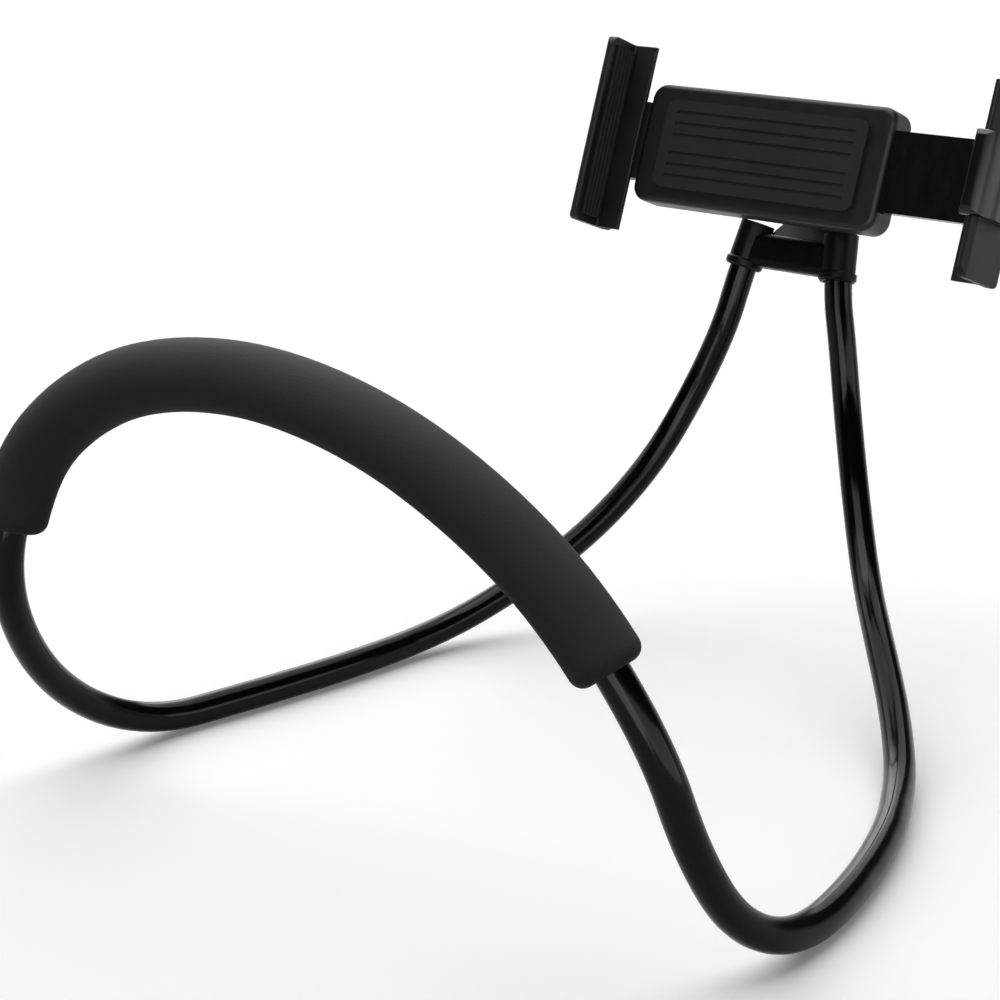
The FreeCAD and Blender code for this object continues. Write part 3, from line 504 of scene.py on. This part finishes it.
# %% [markdown]
# ### Skin the rings
# Neighbouring rings are joined by four-sided faces, and the tube's two cut ends get a flat face.
# A Skin modifier could wrap the line too, but it makes square sections that subdivision only
# rounds off, so the thickness wouldn't be exact. So the faces are listed in code, and smooth
# shading hides their edges. The tube rides on the loop and stands for the CAD tube, which stays
# for collisions only.

# %% The tube
TUBE_RADIUS = 0.00525
TUBE_SIDES = 24


def skin_rings(name, rings, radii, sides, cut_ends=False):
    """A smooth piece from rings of the given radii; cut ends get a flat face."""
    verts = []
    for (point, side, up), radius in zip(rings, radii):
        for k in range(sides):
            turn = math.tau * k / sides
            verts.append(point + (side * math.cos(turn) + up * math.sin(turn)) * radius)
    faces = []
    for i in range(len(rings) - 1):
        for k in range(sides):
            a = i * sides + k
            b = i * sides + (k + 1) % sides
            faces.append((a, b, b + sides, a + sides))
    if cut_ends:
        faces.append(tuple(reversed(range(sides))))
        faces.append(tuple(range(len(verts) - sides, len(verts))))
    mesh = bpy.data.meshes.new(name)
    mesh.from_pydata(verts, [], faces)
    mesh.shade_smooth()
    piece = bpy.data.objects.new(name, mesh)
    bpy.context.scene.collection.objects.link(piece)
    return piece


tube = skin_rings("bent_tube", tube_rings, [TUBE_RADIUS] * len(line), TUBE_SIDES, cut_ends=True)
tube.data.materials.append(tube_vinyl)
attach(tube, "loop")
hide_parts("gooseneck")
print("tube of", len(tube.data.polygons), "faces")

# %% [markdown]
# ## The foam sleeve
# The sleeve is a thick foam hose pushed over the tube, and it lies behind the neck.
# It could have a route of its own, but it is bent by the tube inside it. So it takes its axis
# from the tube's line, between the two corners where the real sleeve starts and ends.

# %% Where the sleeve lies
SLEEVE_FROM, SLEEVE_TO = 12, 19  # it starts and ends halfway to the next corner


def nearest(points, target):
    return min(range(len(points)), key=lambda i: (points[i] - target).length)


def halfway_after(corner):
    """The line's point that is nearest to the middle between a corner and the next."""
    return nearest(line, (corners[corner] + corners[corner + 1]) / 2)


sleeve_axis = line[halfway_after(SLEEVE_FROM):halfway_after(SLEEVE_TO) + 1]
sleeve_length = length_of(sleeve_axis)
print("sleeve", round(sleeve_length, 3), "m long")

# %% [markdown]
# ### The sleeve's section
# The cut ends of the foam are rounded, and show a ring of foam round the tube.
# A Solidify modifier could give a wall, but with square ends. Here the section is a walk: it
# starts in the bore at one end, goes round the rim, along the outside, and back into the bore at
# the other end. So one skin makes the outside, both rims and the mouths of the bore.

# %% Walk the section
FOAM_RADIUS = 0.01075
FOAM_BORE = 0.00545
FOAM_ROUND = 0.0042
# how far in from the end, and how much wider than the bore
BORE_LIP = [(0.012, 0.0), (0.004, 0.0), (0.0012, 0.0001), (0.0003, 0.0006), (0.0, 0.0014)]
ROUND_STEPS = 8
SLEEVE_STEPS = 60


def rim_steps():
    """How a rim runs, from the bore outwards: (how far in from the end, radius)."""
    steps = [(inwards, FOAM_BORE + wider) for inwards, wider in BORE_LIP]
    for k in range(1, ROUND_STEPS + 1):
        turn = math.pi / 2 * k / ROUND_STEPS
        inwards = FOAM_ROUND * (1 - math.cos(turn))
        steps.append((inwards, FOAM_RADIUS - FOAM_ROUND + FOAM_ROUND * math.sin(turn)))
    return steps


rim = rim_steps()
straight = sleeve_length - 2 * FOAM_ROUND
section = list(rim)
for k in range(1, SLEEVE_STEPS):
    section.append((FOAM_ROUND + straight * (k / SLEEVE_STEPS), FOAM_RADIUS))
section += [(sleeve_length - inwards, radius) for inwards, radius in reversed(rim)]
print("section of", len(section), "steps, wall", round((FOAM_RADIUS - FOAM_BORE) / MM, 1), "mm")

# %% [markdown]
# ### Skin the sleeve
# Each step of the section becomes a ring, square to the tube's line at that place.
# The tube's own rings can't be used again, because they are too far apart for the rounded rims.
# So each ring's place is walked to along the line, and takes its turn from the nearest tube ring.
# Foam is soft, and the sleeve sits nearly tight on the tube.

# %% The sleeve
SLEEVE_SIDES = 40
LOOK_AHEAD = 0.0005  # how far to either side the line's direction is read


def walk(points, distance):
    """The point so far along a chain of points."""
    left = distance
    for a, b in zip(points, points[1:]):
        run = (b - a).length
        if left <= run:
            return a.lerp(b, left / run)
        left -= run
    return points[-1].copy()


axis_rings = rings_along(sleeve_axis)
sleeve_rings = []
for along, _ in section:
    point = walk(sleeve_axis, along)
    side = axis_rings[nearest(sleeve_axis, point)][1]
    ahead = walk(sleeve_axis, min(along + LOOK_AHEAD, sleeve_length))
    behind = walk(sleeve_axis, max(along - LOOK_AHEAD, 0.0))
    forward = (ahead - behind).normalized()
    side = (side - forward * side.dot(forward)).normalized()
    sleeve_rings.append((point, side, forward.cross(side)))
sleeve = skin_rings("foam_hose", sleeve_rings, [radius for _, radius in section], SLEEVE_SIDES)
sleeve.data.materials.append(sleeve_foam)
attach(sleeve, "loop")
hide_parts("foam_sleeve")
print("sleeve of", len(sleeve.data.polygons), "faces")

# %% [markdown]
# ## White finish for the floor
# The holder lies on a white table top that shows soft shadows.
# Stronger lamps could whiten a grey floor, but they would also grey the black pieces.
# So the floor's own colour is white, with a little light of its own, for rays that see it
# directly or in a gloss. For light that bounces it is dark, or it would light the holder from
# below. A Light Path node tells these rays apart.

# %% The floor's white
FLOOR_WHITE = (1.0, 1.0, 1.0)
FLOOR_BOUNCE = (0.1, 0.1, 0.1)
FLOOR_ROUGHNESS = 0.9
FLOOR_SHINE = 0.0
FLOOR_GLOW = 0.12


def seen_directly(tree):
    """1 for camera, glossy and transmission rays, 0 for light that bounces."""
    path = tree.nodes.new("ShaderNodeLightPath")
    seen = path.outputs["Is Camera Ray"]
    for kind in ("Is Glossy Ray", "Is Transmission Ray"):
        either = tree.nodes.new("ShaderNodeMath")
        either.operation = "MAXIMUM"
        tree.links.new(seen, either.inputs[0])
        tree.links.new(path.outputs[kind], either.inputs[1])
        seen = either.outputs[0]
    return seen


def make_floor_white():
    finish, tree, surface = start_finish("floor_white", FLOOR_WHITE, FLOOR_ROUGHNESS, FLOOR_SHINE)
    seen = seen_directly(tree)
    drift_tone(tree, surface, seen, FLOOR_BOUNCE, FLOOR_WHITE)
    surface.inputs["Emission Color"].default_value = (*FLOOR_WHITE, 1.0)
    glow = map_range(tree, seen, (0.0, 1.0), (0.0, FLOOR_GLOW))
    tree.links.new(glow, surface.inputs["Emission Strength"])
    return finish


floor_white = make_floor_white()
print("made", floor_white.name, "with a glow of", FLOOR_GLOW)

# %% [markdown]
# ### The floor itself
# The table top runs out of sight on every side, with no edge and no horizon line in view.
# A curved studio sweep could hide the edge, but one large flat face does it too, and shows the
# same from behind. It isn't part of the holder.

# %% Floor
FLOOR_REACH = 30.0
FLOOR_CORNERS = ((-1, -1), (1, -1), (1, 1), (-1, 1))


def make_floor():
    mesh = bpy.data.meshes.new("floor")
    verts = [(x * FLOOR_REACH, y * FLOOR_REACH, 0) for x, y in FLOOR_CORNERS]
    mesh.from_pydata(verts, [], [(0, 1, 2, 3)])
    mesh.materials.append(floor_white)
    floor = bpy.data.objects.new("floor", mesh)
    bpy.context.scene.collection.objects.link(floor)
    return floor


floor = make_floor()
print("floor", 2 * FLOOR_REACH, "m wide")

# %% [markdown]
# ## White backdrop
# Behind the floor stands a white backdrop, as in a photo studio, and overhead the studio is dark.
# It could be a curved wall of mesh, but the world's background needs no mesh at all.
# Its strength follows the height of the view: white near the horizon, nearly dark overhead, so
# the glossy tube has dark flanks. For light that bounces it is one low level, which fills shadows.

# %% Backdrop
WHITE_BELOW, DARK_ABOVE = 0.08, 0.30  # height of the view, from 0 at the horizon to 1 overhead
WALL_STRENGTH, ROOF_STRENGTH = 1.0, 0.06
FILL_STRENGTH = 0.12


def make_backdrop():
    world = bpy.data.worlds.new("surround")
    world.use_nodes = True
    tree = world.node_tree
    sky = tree.nodes["Background"]
    sky.inputs["Color"].default_value = (1, 1, 1, 1)
    heading = tree.nodes.new("ShaderNodeTexCoord")
    parts = tree.nodes.new("ShaderNodeSeparateXYZ")
    tree.links.new(heading.outputs["Generated"], parts.inputs["Vector"])
    shown = map_range(tree, parts.outputs["Z"], (WHITE_BELOW, DARK_ABOVE),
                      (WALL_STRENGTH, ROOF_STRENGTH))
    strength = add_node(tree, "ShaderNodeMapRange", To_Min=FILL_STRENGTH)
    tree.links.new(seen_directly(tree), strength.inputs["Value"])
    tree.links.new(shown, strength.inputs["To Max"])
    tree.links.new(strength.outputs["Result"], sky.inputs["Strength"])
    bpy.context.scene.world = world


make_backdrop()
print("backdrop:", bpy.context.scene.world.name)

# %% [markdown]
# ## Lamps for light and shadow
# In the picture the light comes from above and behind, and the shadows are soft and short.
# Area lamps could do this, but their light fades with distance, so the floor would get a bright
# patch. A Sun lamp is even everywhere, and its angle says how soft its shadow is.
# The wide one is the main light. The two narrow ones add fainter light from behind and in front.

# %% Suns
SUNS = {
    # where it shines from, strength, angle in degrees
    "key": ((-0.47, 0.34, 0.81), 2.7, 84),
    "rear_left": ((-0.66, 0.64, 0.38), 0.45, 34),
    "front": ((0.6, -0.76, 0.24), 0.15, 16),
}
FLOOR_MIDDLE = (0, 0, 0)


def add_lamp(kind, name, place, aim, power):
    data = bpy.data.lights.new(name, kind)
    data.energy = power
    lamp = bpy.data.objects.new(name, data)
    lamp.location = place
    heading = Vector(aim) - Vector(place)
    lamp.rotation_euler = heading.to_track_quat("-Z", "Y").to_euler()
    bpy.context.scene.collection.objects.link(lamp)
    return lamp


for name, (place, strength, angle) in SUNS.items():
    add_lamp("SUN", name, place, FLOOR_MIDDLE, strength).data.angle = math.radians(angle)
print("suns:", list(SUNS))

# %% [markdown]
# ## Panels for the highlights
# Long pale streaks run along the tube and the arm, where they mirror the studio's soft boxes.
# The suns' own highlights lie elsewhere, and stronger lamps would wash out the shadows.
# So three area lamps stand round the holder with their diffuse light switched off: they are seen
# in gloss alone, and light nothing else.

# %% Panels
PANELS = {
    # place, power in watts, width and height in metres
    "right_panel": ((1.88, -0.30, 0.55), 21.0, 3.4, 0.7),
    "front_panel": ((0.55, -1.85, 0.5), 26.0, 1.5, 1.2),
    "top_panel": ((-0.15, -0.12, 1.7), 26.0, 1.5, 1.5),
}
LOOP_MIDDLE = (0, 0, 0.08)

for name, (place, power, wide, tall) in PANELS.items():
    panel = add_lamp("AREA", name, place, LOOP_MIDDLE, power)
    panel.data.shape = "RECTANGLE"
    panel.data.size = wide
    panel.data.size_y = tall
    panel.visible_diffuse = False
    panel.visible_camera = False
print("panels:", list(PANELS))

# %% [markdown]
# ## Camera
# The picture was taken from the right, on the sleeve's side, looking 16 degrees down.
# A wide lens close by could show the same pieces, but it would stretch the near side of the loop.
# A long lens from further away keeps the loop's true proportions. Its place was fitted to the
# picture. Everything is in focus, so depth of field is off.

# %% Camera
LENS, SENSOR = 79.2, 36.0  # millimetres
CAMERA_PLACE = (0.4040, -0.5854, 0.2897)
LOOK_DOWN, LOOK_ROUND = 16, 38  # degrees
LEVEL = 90                      # a camera that isn't turned looks straight down
FAR_ENOUGH = 100.0


def make_camera():
    data = bpy.data.cameras.new("camera")
    data.lens = LENS
    data.sensor_width = SENSOR
    data.dof.use_dof = False
    data.clip_end = FAR_ENOUGH
    camera = bpy.data.objects.new("camera", data)
    camera.location = CAMERA_PLACE
    camera.rotation_euler = (math.radians(LEVEL - LOOK_DOWN), 0.0, math.radians(LOOK_ROUND))
    bpy.context.scene.collection.objects.link(camera)
    bpy.context.scene.camera = camera
    return camera


camera = make_camera()
bpy.context.scene.view_settings.view_transform = "Standard"
print("camera", round(camera.location.length, 2), "m from the middle of the floor")
